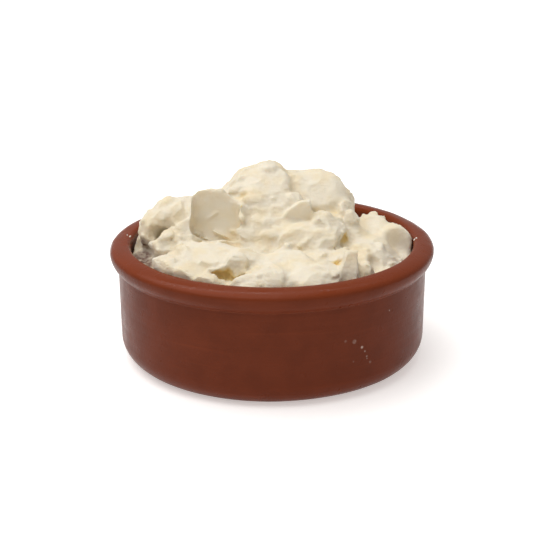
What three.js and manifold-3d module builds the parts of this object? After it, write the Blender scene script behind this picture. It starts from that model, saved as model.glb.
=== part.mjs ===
// A small round glazed clay dish heaped with fromage blanc.
// Millimetres, +Z up. The origin is the middle of the dish's flat foot, and the
// side with the broad spoon mark and the low terrace faces -Y.

import * as THREE from 'three';
import { mergeVertices } from 'three/addons/utils/BufferGeometryUtils.js';
import Module from 'manifold-3d';

// ---- driving dimensions ---------------------------------------------------

const DISH = {
  rimRadius: 60, // widest point of the rolled rim
  rimTop: 43.7, // height of the whole dish
  beadRadius: 53.8, // where the rim is highest
  beadRise: 2.95, // from the widest point up to the top
  beadDrop: 6.25, // from the widest point down the rolled underside
  wallTop: 35.2, // where the rolled rim meets the wall
  wallRadiusTop: 57.05,
  wallRadiusBottom: 56.6,
  cornerRadius: 8.6, // outer corner between wall and foot
  innerRadius: 52.3,
  innerLip: 41.6, // where the inner wall starts to roll over into the rim
  innerCorner: 9.5,
  floor: 5, // thickness of the bottom
};
const AROUND = 72; // sides of the dish and of the space inside it
const GAP = 0.3; // between the cheese and the dish

const HEAP_CEILING = 90; // anything above the highest lump
const HEART = new THREE.Vector3(0, -2, -8); // the heap is drawn outwards from this point
const FINENESS = 46; // subdivision of the ball that is drawn out to the lumps

const BLEND = 0.45; // how softly neighbouring lumps run together
const THIN_SKIN = 3; // cheese thinner than this over a gap is open
const CRAGS = [{ size: 7, depth: 0.75 }, { size: 3.4, depth: 0.45 }]; // width, depth

const COLOUR = { clay: 0x7a4029, curd: 0xf2ead6 };

// ---- the lumps of curd ----------------------------------------------------
// Each lump: centre, half sizes, turn about X, Y and Z in degrees, the flat
// faces left by the spoon, each a direction and its distance from the centre,
// and how craggy it is, 1 where nothing is said.

const LUMPS = {
  // the cheese packed in the dish, its low dome wider than the dish itself
  bed: { at: [0, 0, 0], half: [100, 100, 45.4] },
  // the summit, behind
  summit: { at: [-4.5, 13, 56.5], half: [14, 14, 12], flats: [[0, -0.6, 0.8, 9.5]] },
  summitLeft: {
    at: [-11.5, 11, 59], half: [7.2, 9, 7.2], turn: [0, -20, 0], flats: [[-0.2, -0.7, 0.6, 7]],
  },
  summitCrown: { at: [-1, 12.5, 66], half: [6.5, 7, 4.2], turn: [0, 8, 0] },
  summitBrow: { at: [-8, 13, 63.5], half: [7, 7, 4.4], turn: [0, -20, 0] },
  shoulder: { at: [16.5, 14, 56], half: [13.5, 13, 9.6], turn: [0, 4, 0], flats: [[0, -0.75, 0.65, 8.8]] },
  shoulderEnd: { at: [23.5, 14, 57], half: [6, 8, 7.4], turn: [0, 25, 0], flats: [[0, -0.8, 0.6, 6.6]] },
  saddle: { at: [7, 14, 60.5], half: [9, 9, 6.2], flats: [[0, -0.6, 0.8, 5]] },
  shoulderDrop: { at: [29, 17, 50], half: [3.6, 7, 6.5], turn: [0, 12, 0] },
  pillar: { at: [28, 6, 50.5], half: [3.4, 5, 7.8], turn: [0, -8, 0] },
  // the spooned scoop with its broad smooth face
  scoop: {
    at: [-21.5, 0, 49.5], half: [11.8, 14, 12], turn: [0, -2, 6], flats: [[0.04, -0.96, 0.22, 8]], crags: 0.2,
  },
  scoopCrest: {
    at: [-24, 0, 57.5], half: [7, 7, 3.4], turn: [0, -14, 0], flats: [[0, -1, 0.3, 5.5]], crags: 0.6,
  },
  scoopFoot: { at: [-21, -6, 43.5], half: [10, 9, 3.6], turn: [0, 10, 0], flats: [[0, -1, -0.2, 7]] },
  // the rough middle slope
  slopeLeft: { at: [-6.5, 1, 55], half: [8, 8, 8], flats: [[0.1, -0.7, 0.7, 6.5]] },
  slopeRight: { at: [1.5, 1, 55], half: [8, 9, 7], flats: [[0, -0.6, 0.8, 5.5]] },
  stepLeft: { at: [-5, -9, 46.5], half: [9.5, 10, 6.5], turn: [0, 8, 0], flats: [[0, -0.7, 0.7, 6]] },
  stepRight: { at: [4, -8, 49], half: [8, 9, 5.8], flats: [[0, -0.7, 0.7, 5]] },
  leaf: { at: [9.5, -7, 55.5], half: [6, 3, 4.3], turn: [0, -32, 0], flats: [[0.1, -1, -0.1, 1.2]] },
  slab: { at: [12, -13, 47], half: [12, 10, 5], turn: [0, -3, 0], flats: [[0, -0.6, 0.8, 4.4]] },
  slabBack: { at: [19, -7, 49], half: [7.8, 9, 6.6], turn: [0, 10, 0], flats: [[0.2, -0.7, 0.7, 6.2]] },
  slabCorner: { at: [22, -3, 51.5], half: [5, 5, 2.6], turn: [0, 20, 0] },
  // the left group
  horn: { at: [-39.5, 0, 53.2], half: [6.2, 8, 6], flats: [[-0.2, -0.7, 0.7, 5.8]] },
  hornTip: { at: [-36.5, 2, 56.5], half: [5, 6, 2.8] },
  hornSide: { at: [-45.2, -1, 48], half: [4, 8, 6.8] },
  hornNeck: { at: [-33.5, -3, 53.5], half: [5, 7, 7.4], flats: [[-0.3, -1, 0.2, 4.6]] },
  ledgeBack: { at: [-30.5, -12, 49.5], half: [5.5, 6, 6] },
  wedge: { at: [-38.5, -22, 48], half: [6, 6, 4.2], turn: [0, -22, 0] },
  wedgePost: { at: [-35.5, -14, 50.5], half: [2.6, 3.5, 4], turn: [0, 5, 0] },
  leftEdge: { at: [-46, -19, 44.5], half: [3.4, 6, 5.5] },
  leftFront: { at: [-35.5, -31, 43.5], half: [9, 8, 5], turn: [0, 10, 15] },
  leftFrontLow: { at: [-28.5, -38, 43.5], half: [7, 6, 4], turn: [0, 12, 12] },
  // the low terrace in front
  roll: { at: [-20, -26, 46.5], half: [15, 9, 4.6], turn: [0, 5, 0], flats: [[0, -0.4, 0.9, 4]] },
  rollEnd: { at: [-10, -30, 45.5], half: [8, 6, 4], turn: [0, 8, 0] },
  rollStart: { at: [-29, -22, 47], half: [7, 6, 4], turn: [0, 10, 0] },
  drip: { at: [-11.5, -36, 44.5], half: [2.6, 3, 3.4] },
  frontLeft: { at: [-19.5, -44, 43], half: [6.5, 5, 3.4], turn: [0, 14, 0] },
  frontMiddle: { at: [-6, -45, 43], half: [8, 6, 3.8], turn: [0, -8, 0] },
  frontMiddleHigh: { at: [-0.5, -43.5, 44], half: [7, 6, 4.2] },
  plate: { at: [3.5, -32, 45], half: [13, 10, 5], turn: [0, -6, 0], flats: [[0, -0.35, 0.93, 4.2]] },
  frontRight: { at: [11.5, -41, 43.5], half: [7.5, 6, 4.4] },
  frontRightEnd: { at: [18.5, -39, 43.5], half: [6, 5, 4] },
  basin: { at: [19, -26, 42], half: [8, 7, 2.6] },
  ridge: { at: [24, -25, 46], half: [6, 4, 2.2], turn: [0, 24, 0] },
  fin: { at: [27, -34, 43.5], half: [3.8, 6, 6.6], turn: [0, 4, 0], flats: [[0.15, -1, 0.1, 3.6]] },
  finSide: { at: [33, -31, 41.5], half: [3.8, 5, 3], turn: [0, -10, 0] },
  // the right-hand group against the wall
  rightTop: { at: [37, 7, 43.5], half: [6.8, 9, 6.6], flats: [[-0.2, -0.5, 0.85, 5.6]] },
  rightBulge: { at: [45, -2, 41.5], half: [6.8, 10, 7.2], turn: [0, 10, 0], flats: [[0.25, -1, 0.1, 7.5]] },
  rightLow: { at: [40.5, -16, 40.5], half: [9, 9, 5.5], turn: [0, -10, 0], flats: [[0.1, -0.8, 0.5, 6.5]] },
  rightInner: { at: [32.5, -14, 43.5], half: [6, 7, 5] },
  rightNeck: { at: [30.5, -3, 45], half: [4.8, 6, 6] },
  // the side away from the spoon mark, falling to the rim
  backHigh: { at: [-6, 27, 53], half: [14, 10, 10], turn: [8, 0, 0] },
  backHighRight: { at: [14, 27, 50], half: [12, 10, 9], turn: [6, 8, 0] },
  backHighLeft: { at: [-24, 19, 47.5], half: [10, 10, 8.5], turn: [0, -10, 20] },
  backLeft: { at: [-37, 15, 44], half: [9, 10, 7], turn: [0, -8, 0] },
  backLeftLow: { at: [-31, 32, 41.5], half: [10, 8, 6], turn: [0, 0, 40] },
  backLow: { at: [-11, 41, 42], half: [11, 7, 6.5], turn: [0, 4, 8] },
  backLowRight: { at: [10, 41, 41.5], half: [11, 8, 5.5], turn: [0, 0, -10] },
  backStep: { at: [1, 36, 46], half: [9, 7, 6], turn: [10, 0, 0] },
  backRight: { at: [33, 26, 37], half: [10, 9, 5.2], turn: [0, 6, 40] },
  backRightSide: { at: [43, 14, 36], half: [7, 9, 5], turn: [0, 8, 0] },
  backRightEnd: { at: [22, 39, 37], half: [9, 8, 5.4], turn: [0, 0, -30] },
  backEdge: { at: [-46, 4, 42], half: [5, 9, 5] },
};

// the dark gaps between lumps: centre, half sizes and turn
const GAPS = {
  frontGap: { at: [-14, -42, 42.4], half: [9, 4.5, 2.5], turn: [0, 14, 0] },
  frontGapTail: { at: [-5.5, -40.5, 42.5], half: [4, 3, 2.4] },
  scoopPit: { at: [-30.5, -6, 55], half: [2.2, 5, 3.6], turn: [0, -20, 0] },
  hornCave: { at: [-40.5, -9, 49.5], half: [6, 6, 3.2] },
  shoulderHollow: { at: [20, 1.5, 52.5], half: [6.5, 5, 2.6], turn: [0, -8, 0] },
  rightSlit: { at: [26.5, -10, 46], half: [2.2, 5, 3.6], turn: [0, -25, 0] },
  slabPit: { at: [1.5, -21.5, 46.5], half: [3.6, 4, 2] },
  edgeGap: { at: [36.5, -26, 42.5], half: [2.2, 5, 4] },
};

// ---- the surface of the heap ----------------------------------------------

const DEGREE = Math.PI / 180;

// A repeatable value between -1 and 1 for each point of a whole-number lattice.
function latticeValue(x, y, z) {
  let h = Math.imul(x, 374761393) ^ Math.imul(y, 668265263) ^ Math.imul(z, 2147483647);
  h = Math.imul(h ^ (h >>> 13), 1274126177);
  return ((h ^ (h >>> 16)) & 0xffff) / 32767.5 - 1;
}

const ease = (t) => t * t * (3 - 2 * t);

// Smooth noise between -1 and 1 whose features are about `size` across.
function noise(point, size) {
  const p = point.clone().divideScalar(size);
  const cell = p.clone().floor();
  const f = p.sub(cell);
  const [u, v, w] = [ease(f.x), ease(f.y), ease(f.z)];
  let sum = 0;
  for (let corner = 0; corner < 8; corner += 1) {
    const [i, j, k] = [corner & 1, (corner >> 1) & 1, corner >> 2];
    const weight = (i ? u : 1 - u) * (j ? v : 1 - v) * (k ? w : 1 - w);
    sum += weight * latticeValue(cell.x + i, cell.y + j, cell.z + k);
  }
  return sum;
}

// Where a ray from the heart enters and leaves a lump, or null if it misses.
function lumpSpan(direction, { at, half, turn = [0, 0, 0], flats = [] }) {
  const rotation = new THREE.Euler(turn[0] * DEGREE, turn[1] * DEGREE, turn[2] * DEGREE, 'ZYX');
  const unturn = new THREE.Matrix4().makeRotationFromEuler(rotation).invert();
  const size = new THREE.Vector3(...half);
  const offset = HEART.clone().sub(new THREE.Vector3(...at));
  const start = offset.clone().applyMatrix4(unturn).divide(size);
  const step = direction.clone().applyMatrix4(unturn).divide(size);
  const [a, b, c] = [step.lengthSq(), start.dot(step), start.lengthSq() - 1];
  const inside = b * b - a * c;
  if (inside <= 0) return null;
  let enter = (-b - Math.sqrt(inside)) / a;
  let leave = (-b + Math.sqrt(inside)) / a;
  flats.forEach(([x, y, z, distance]) => {
    const normal = new THREE.Vector3(x, y, z).normalize();
    const along = direction.dot(normal);
    const reach = (distance - offset.dot(normal)) / along;
    if (along > 0) leave = Math.min(leave, reach);
    else enter = Math.max(enter, reach);
  });
  return enter < leave && leave > 0 ? { enter, leave } : null;
}

// How far the cheese reaches from its heart in one direction.
function heapReach(direction) {
  const hits = Object.values(LUMPS)
    .map((lump) => ({ lump, span: lumpSpan(direction, lump) }))
    .filter(({ span }) => span);
  const furthest = Math.max(...hits.map(({ span }) => span.leave));
  let [total, crags] = [0, 0];
  hits.forEach(({ lump, span }) => {
    const weight = Math.exp((span.leave - furthest) / BLEND);
    total += weight;
    crags += weight * (lump.crags ?? 1);
  });
  let reach = furthest + BLEND * Math.log(total);
  Object.values(GAPS).forEach((gap) => {
    const span = lumpSpan(direction, gap);
    if (span && reach > span.enter && reach < span.leave + THIN_SKIN) reach = span.enter;
  });
  const place = direction.clone().multiplyScalar(reach).add(HEART);
  const relief = CRAGS.reduce((sum, { size, depth }) => sum + depth * noise(place, size), 0);
  return reach + (relief * crags) / total;
}

// Part of a circle or ellipse as profile points, both ends included.
function arc(centreX, centreY, radiusX, radiusY, from, to, steps) {
  return Array.from({ length: steps + 1 }, (_, i) => {
    const angle = (from + ((to - from) * i) / steps) * DEGREE;
    return new THREE.Vector2(centreX + radiusX * Math.cos(angle), centreY + radiusY * Math.sin(angle));
  });
}

// A profile of radius against height, turned about the Z axis.
function turned(profile) {
  return new THREE.LatheGeometry(profile, AROUND).rotateX(Math.PI / 2);
}

// ---- the dish -------------------------------------------------------------

function dishGeometry() {
  const d = DISH;
  const widest = d.rimTop - d.beadRise;
  const beadWidth = d.rimRadius - d.beadRadius;
  // where the rolled underside comes in as far as the wall
  const meet = -Math.acos((d.wallRadiusTop - d.beadRadius) / beadWidth) / DEGREE;
  const outside = [
    new THREE.Vector2(0, 0),
    ...arc(d.wallRadiusBottom - d.cornerRadius, d.cornerRadius, d.cornerRadius, d.cornerRadius, -90, 0, 5),
    new THREE.Vector2(d.wallRadiusTop, d.wallTop),
  ];
  const rim = [
    ...arc(d.beadRadius, widest, beadWidth, d.beadDrop, meet, 0, 5),
    ...arc(d.beadRadius, widest, beadWidth, d.beadRise, 0, 90, 6).slice(1),
  ];
  const inside = [
    ...arc(d.beadRadius, d.innerLip, d.beadRadius - d.innerRadius, d.rimTop - d.innerLip, 90, 180, 3)
      .slice(1),
    ...arc(d.innerRadius - d.innerCorner, d.floor + d.innerCorner, d.innerCorner, d.innerCorner, 0, -90, 4),
    new THREE.Vector2(0, d.floor),
  ];
  return turned([...outside, ...rim, ...inside]);
}

// ---- the cheese -----------------------------------------------------------

// All the space that the cheese may fill: the inside of the dish and above it.
function roomGeometry() {
  const radius = DISH.innerRadius - GAP;
  const floor = DISH.floor + GAP;
  const corner = DISH.innerCorner - GAP;
  return turned([
    new THREE.Vector2(0, floor),
    ...arc(radius - corner, floor + corner, corner, corner, -90, 0, 4),
    new THREE.Vector2(radius, HEAP_CEILING),
    new THREE.Vector2(0, HEAP_CEILING),
  ]);
}

// The same shape with each shared corner kept only once.
function welded(geometry) {
  const bare = geometry.clone();
  bare.deleteAttribute('normal');
  bare.deleteAttribute('uv');
  return mergeVertices(bare);
}

// A fine ball drawn out from the heart until it lies on the lumps.
function heapGeometry() {
  const ball = welded(new THREE.IcosahedronGeometry(1, FINENESS));
  const position = ball.getAttribute('position');
  const direction = new THREE.Vector3();
  for (let i = 0; i < position.count; i += 1) {
    direction.fromBufferAttribute(position, i).normalize();
    const point = direction.clone().multiplyScalar(heapReach(direction)).add(HEART);
    position.setXYZ(i, point.x, point.y, point.z);
  }
  return ball;
}

const wasm = await Module();
wasm.setup();

function toSolid(geometry) {
  const merged = welded(geometry);
  return new wasm.Manifold(new wasm.Mesh({
    numProp: 3,
    vertProperties: new Float32Array(merged.getAttribute('position').array),
    triVerts: new Uint32Array(merged.getIndex().array),
  }));
}

function toGeometry(solid) {
  const mesh = solid.getMesh();
  const geometry = new THREE.BufferGeometry();
  geometry.setAttribute('position', new THREE.BufferAttribute(mesh.vertProperties, 3));
  geometry.setIndex(new THREE.BufferAttribute(mesh.triVerts, 1));
  geometry.computeVertexNormals();
  return geometry;
}

function cheeseGeometry() {
  return toGeometry(toSolid(heapGeometry()).intersect(toSolid(roomGeometry())));
}

// ---- the whole ------------------------------------------------------------

function subPart(name, geometry, colour, roughness) {
  const material = new THREE.MeshStandardMaterial({ color: colour, roughness, metalness: 0 });
  const mesh = new THREE.Mesh(geometry, material);
  mesh.name = name;
  return mesh;
}

const group = new THREE.Group();
group.add(subPart('dish', dishGeometry(), COLOUR.clay, 0.35));
group.add(subPart('fromage_blanc', cheeseGeometry(), COLOUR.curd, 0.6));

export default group;
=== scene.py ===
"""A glazed clay dish heaped with fromage blanc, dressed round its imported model."""

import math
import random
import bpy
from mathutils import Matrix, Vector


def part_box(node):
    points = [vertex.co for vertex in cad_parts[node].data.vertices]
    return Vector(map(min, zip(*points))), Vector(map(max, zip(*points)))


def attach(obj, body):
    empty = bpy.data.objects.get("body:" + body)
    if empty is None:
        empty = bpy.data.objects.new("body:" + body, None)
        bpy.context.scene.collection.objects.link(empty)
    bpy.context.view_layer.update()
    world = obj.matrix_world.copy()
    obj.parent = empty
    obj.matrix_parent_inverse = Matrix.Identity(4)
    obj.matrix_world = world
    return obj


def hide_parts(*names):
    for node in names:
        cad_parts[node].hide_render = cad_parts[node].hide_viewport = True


bl_info = {
    "name": "Bowl of Fromage Blanc",
    "version": (1, 0, 0),
    "blender": (4, 5, 0),
    "location": "View3D > Sidebar > Cheese Bowl",
    "description": "Models a round clay dish heaped with torn and spooned fresh cheese",
    "category": "Add Mesh",
}

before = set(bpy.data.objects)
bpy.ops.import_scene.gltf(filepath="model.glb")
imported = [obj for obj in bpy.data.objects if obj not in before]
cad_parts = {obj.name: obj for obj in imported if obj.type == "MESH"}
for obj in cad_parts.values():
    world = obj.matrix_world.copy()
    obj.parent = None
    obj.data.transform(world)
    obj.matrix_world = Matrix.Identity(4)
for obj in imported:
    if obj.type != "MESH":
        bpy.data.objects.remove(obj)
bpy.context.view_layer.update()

import bpy
from mathutils import Euler, Quaternion, Vector
from mathutils.bvhtree import BVHTree

MM = 0.001
BODY = "root"

DISH_LOW, DISH_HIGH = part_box("dish")
HEAP_LOW, HEAP_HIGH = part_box("fromage_blanc")
HEAP_CUT = 36.5 * MM  # the cheese is plain below this height, inside the dish
HEAP_CORNER = 9.2 * MM  # its rounded lower edge, just clear of the dish's
LUMP_VOXEL = 1.0 * MM  # the big lumps are run together this finely
LUMP_CHIPS, FOLD_CHIPS = 5, 2  # bits broken off each lump and each fold

# The dish's outline, in millimetres.
DISH = {
    "foot_radius": 56.6,
    "foot_corner": 8.6,
    "wall_radius": 57.0,  # under the rim
    "wall_top": 35.3,
    "fillet_out": 0.28,  # the small step where the wall meets the rolled rim
    "fillet_up": 0.12,
    "bead": 6.2,  # thickness of the rolled rim
    "bead_drop": 2.95,  # its widest point below its top
    "lip": 1.7,  # rounding of its inner edge
    "inner_radius": 52.3,
    "inner_corner": 9.5,
    "inner_step": 14,  # plain wall above the inner corner
    "floor": 5,
}
UNEVEN_SIZE, UNEVEN_DEPTH = 28 * MM, 0.24 * MM  # the wall's unevenness from throwing

# The lumps of curd, in millimetres: centre, half sizes, turn in degrees, and the flat
# faces left by the spoon or by tearing (direction and distance from the centre).
LUMPS = {
    # the cheese packed in the dish, its low dome wider than the dish itself
    "bed": dict(at=(0, 0, 0), half=(100, 100, 45.4)),
    # the summit, behind
    "summit": dict(at=(-4.2, 13, 56.5), half=(12.8, 14, 12), flats=[(0, -0.6, 0.8, 9.5)]),
    "summit_left": dict(at=(-12.2, 11, 55), half=(7.2, 9, 7), turn=(0, -20, 0),
                        flats=[(-0.2, -0.7, 0.6, 7)]),
    "summit_crown": dict(at=(-1, 12.5, 64.9), half=(6, 8, 3.8), turn=(20, 8, 0)),
    "summit_brow": dict(at=(-7.4, 12.5, 61.4), half=(7, 8, 4), turn=(20, -22, 0)),
    "summit_face": dict(at=(-3, 6, 63), half=(10.5, 10.5, 2.8), turn=(33, 0, 0)),
    "shoulder": dict(at=(16.5, 14, 56), half=(13.5, 13, 9.6), turn=(0, 4, 0),
                     flats=[(0, -0.66, 0.75, 8)]),
    "shoulder_face": dict(at=(17.5, 10.2, 59.9), half=(12.5, 8.5, 2.8), turn=(40, 0, 0)),
    "shoulder_end": dict(at=(22.5, 14, 56.4), half=(5.4, 8, 7.2), turn=(0, 25, 0),
                         flats=[(0, -0.8, 0.6, 6.6)]),
    "saddle": dict(at=(7, 14, 59.3), half=(9, 9, 6.2), flats=[(0, -0.6, 0.8, 5)]),
    "shoulder_drop": dict(at=(28.2, 17, 49.5), half=(3.5, 7, 6.4), turn=(0, 12, 0)),
    "pillar": dict(at=(28, 6, 50.5), half=(3.4, 5, 7.8), turn=(0, -8, 0)),
    # the spooned scoop with its broad smooth face
    "scoop": dict(at=(-20.3, 0.5, 49), half=(17, 15, 20),
                  flats=[(-1, 0, 0.1, 10.2), (0, 0.45, 0.89, 11.6), (-0.66, 0.35, 0.66, 13),
                         (0.6, 0.35, 0.72, 10.6), (1, 0, 0.1, 10.6)]),
    "scoop_crest": dict(at=(-23, 4.5, 54.6), half=(7, 6, 4), turn=(0, -10, 0)),
    "scoop_right": dict(at=(-14, 1.5, 52.8), half=(5, 7, 7.2)),
    "scoop_foot": dict(at=(-21, -8, 39.5), half=(10, 9, 4), turn=(0, 10, 0)),
    # the rough middle slope
    "slope_left": dict(at=(-6.5, 1, 55), half=(8, 8, 8), flats=[(0.1, -0.7, 0.7, 6.5)]),
    "slope_right": dict(at=(1.5, 1, 55), half=(8, 9, 7), flats=[(0, -0.6, 0.8, 5.5)]),
    "slope_face": dict(at=(-1, -7.2, 52.2), half=(11, 10, 2.6), turn=(43, 0, 0)),
    "step_left": dict(at=(-5, -9, 46.5), half=(9.5, 10, 6.5), turn=(0, 8, 0),
                      flats=[(0, -0.7, 0.7, 6)]),
    "step_right": dict(at=(4, -8, 49), half=(8, 9, 5.8), flats=[(0, -0.7, 0.7, 5)]),
    "slab": dict(at=(12, -13, 47.4), half=(12, 9.5, 5.4), turn=(0, -3, 0),
                 flats=[(0, -0.6, 0.8, 4.8)]),
    "slab_back": dict(at=(19, -7, 49), half=(7.8, 9, 6.6), turn=(0, 10, 0),
                      flats=[(0.2, -0.7, 0.7, 6.2)]),
    "slab_corner": dict(at=(22, -3, 51.5), half=(5, 5, 2.6), turn=(0, 20, 0)),
    "hollow_floor": dict(at=(22, 1, 48.8), half=(7, 5, 4)),
    # the left group
    "horn": dict(at=(-39.5, 0, 53.2), half=(6.2, 8, 6),
                 flats=[(-0.2, -0.7, 0.7, 5.8), (-0.75, 0, 0.66, 4.5)]),
    "horn_tip": dict(at=(-36.5, 2, 56.5), half=(5, 6, 2.8)),
    "horn_side": dict(at=(-45.2, -1, 48), half=(4, 8, 6.8)),
    "horn_neck": dict(at=(-33.5, -3, 53.5), half=(5, 7, 7.4), flats=[(-0.3, -1, 0.2, 4.6)]),
    "neck_back": dict(at=(-33, 7, 48.5), half=(6, 6, 6)),
    "ledge_back": dict(at=(-30.5, -12, 49.5), half=(5.5, 6, 6)),
    "wedge": dict(at=(-37.5, -17, 46.4), half=(7, 6.5, 4.2), turn=(0, -14, 0),
                  flats=[(0, -0.7, 0.7, 3.6)]),
    "left_front": dict(at=(-35.5, -32, 43), half=(9, 8, 4.8), turn=(6, 6, 15)),
    "left_front_low": dict(at=(-28.5, -38, 43), half=(7, 7.5, 3.8), turn=(10, 12, 12)),
    # the low terrace in front
    "roll": dict(at=(-20, -28, 45.2), half=(15, 11.5, 4.8), turn=(0, 8, 0),
                 flats=[(0, -0.25, 0.97, 4.1)]),
    "roll_end": dict(at=(-10, -31.5, 45.5), half=(8, 7, 4.2), turn=(0, 8, 0)),
    "roll_start": dict(at=(-29, -22, 45.4), half=(7, 6, 4), turn=(0, 10, 0)),
    "front_left": dict(at=(-21, -43.5, 41.2), half=(7, 6, 3), turn=(10, 14, 0)),
    "front_middle": dict(at=(-6, -44, 42.2), half=(8.5, 9, 3.6), turn=(12, -8, 0)),
    "front_middle_high": dict(at=(-0.5, -43.6, 43), half=(7, 8.5, 4), turn=(14, 0, 0)),
    "plate": dict(at=(3.5, -32, 43.8), half=(13, 10.5, 4.6), turn=(0, -6, 0),
                  flats=[(0, -0.2, 0.98, 3.8)]),
    "front_right": dict(at=(11.5, -41.5, 42.6), half=(8, 9.5, 4), turn=(12, 0, 0)),
    "front_right_end": dict(at=(18.5, -39.5, 42.8), half=(6.5, 8, 3.8), turn=(12, 0, 0)),
    "basin": dict(at=(19, -25, 43.4), half=(9, 8, 3)),
    "ridge": dict(at=(26, -23, 44.4), half=(2.8, 10, 3), turn=(-6, 0, 4)),
    "right_face": dict(at=(34.5, -10, 38.8), half=(10.5, 17, 8)),
    "fin_side": dict(at=(33, -31, 41.5), half=(3.8, 5, 3), turn=(0, -10, 0)),
    # the right-hand group against the wall
    "right_top": dict(at=(38, 7, 44.3), half=(6.8, 9, 6.6), flats=[(-0.2, -0.5, 0.85, 5.6)]),
    "right_bulge": dict(at=(45, 0, 41.5), half=(7.4, 10, 7), turn=(0, 10, 0),
                        flats=[(0.3, -0.9, 0.35, 4)]),
    "right_low": dict(at=(37, -17, 38.2), half=(8, 9, 5), turn=(0, -10, 0),
                      flats=[(0.1, -0.8, 0.5, 6.5)]),
    "right_inner": dict(at=(32.5, -14, 42), half=(6, 7, 5)),
    "right_neck": dict(at=(30.5, -3, 44), half=(4.8, 6, 5.6)),
    # the side away from the spoon mark, falling to the rim
    "back_high": dict(at=(-6, 27, 53), half=(14, 10, 10), turn=(8, 0, 0)),
    "back_high_right": dict(at=(14, 27, 50), half=(12, 10, 9), turn=(6, 8, 0)),
    "back_high_left": dict(at=(-24, 19, 47.5), half=(10, 10, 8.5), turn=(0, -10, 20)),
    "back_left": dict(at=(-37, 15, 44), half=(9, 10, 7), turn=(0, -8, 0)),
    "back_left_low": dict(at=(-31, 32, 41.5), half=(10, 8, 6), turn=(0, 0, 40)),
    "back_low": dict(at=(-11, 41, 42), half=(11, 7, 6.5), turn=(0, 4, 8)),
    "back_low_right": dict(at=(10, 41, 41.5), half=(11, 8, 5.5), turn=(0, 0, -10)),
    "back_step": dict(at=(1, 36, 46), half=(9, 7, 6), turn=(10, 0, 0)),
    "back_right": dict(at=(33, 26, 37), half=(10, 9, 5.2), turn=(0, 6, 40)),
    "back_right_side": dict(at=(43, 14, 36), half=(7, 9, 5), turn=(0, 8, 0)),
    "back_right_end": dict(at=(22, 39, 37), half=(9, 8, 5.4), turn=(0, 0, -30)),
    "back_edge": dict(at=(-46, 4, 42), half=(5, 9, 5)),
}
# Lumps that keep their own faces, with no chips broken off at random.
UNCHIPPED = {"scoop", "summit_crown", "slab_block", "fin", "leaf", "drip", "right_bulge",
             "right_low", "right_face"}
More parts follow.
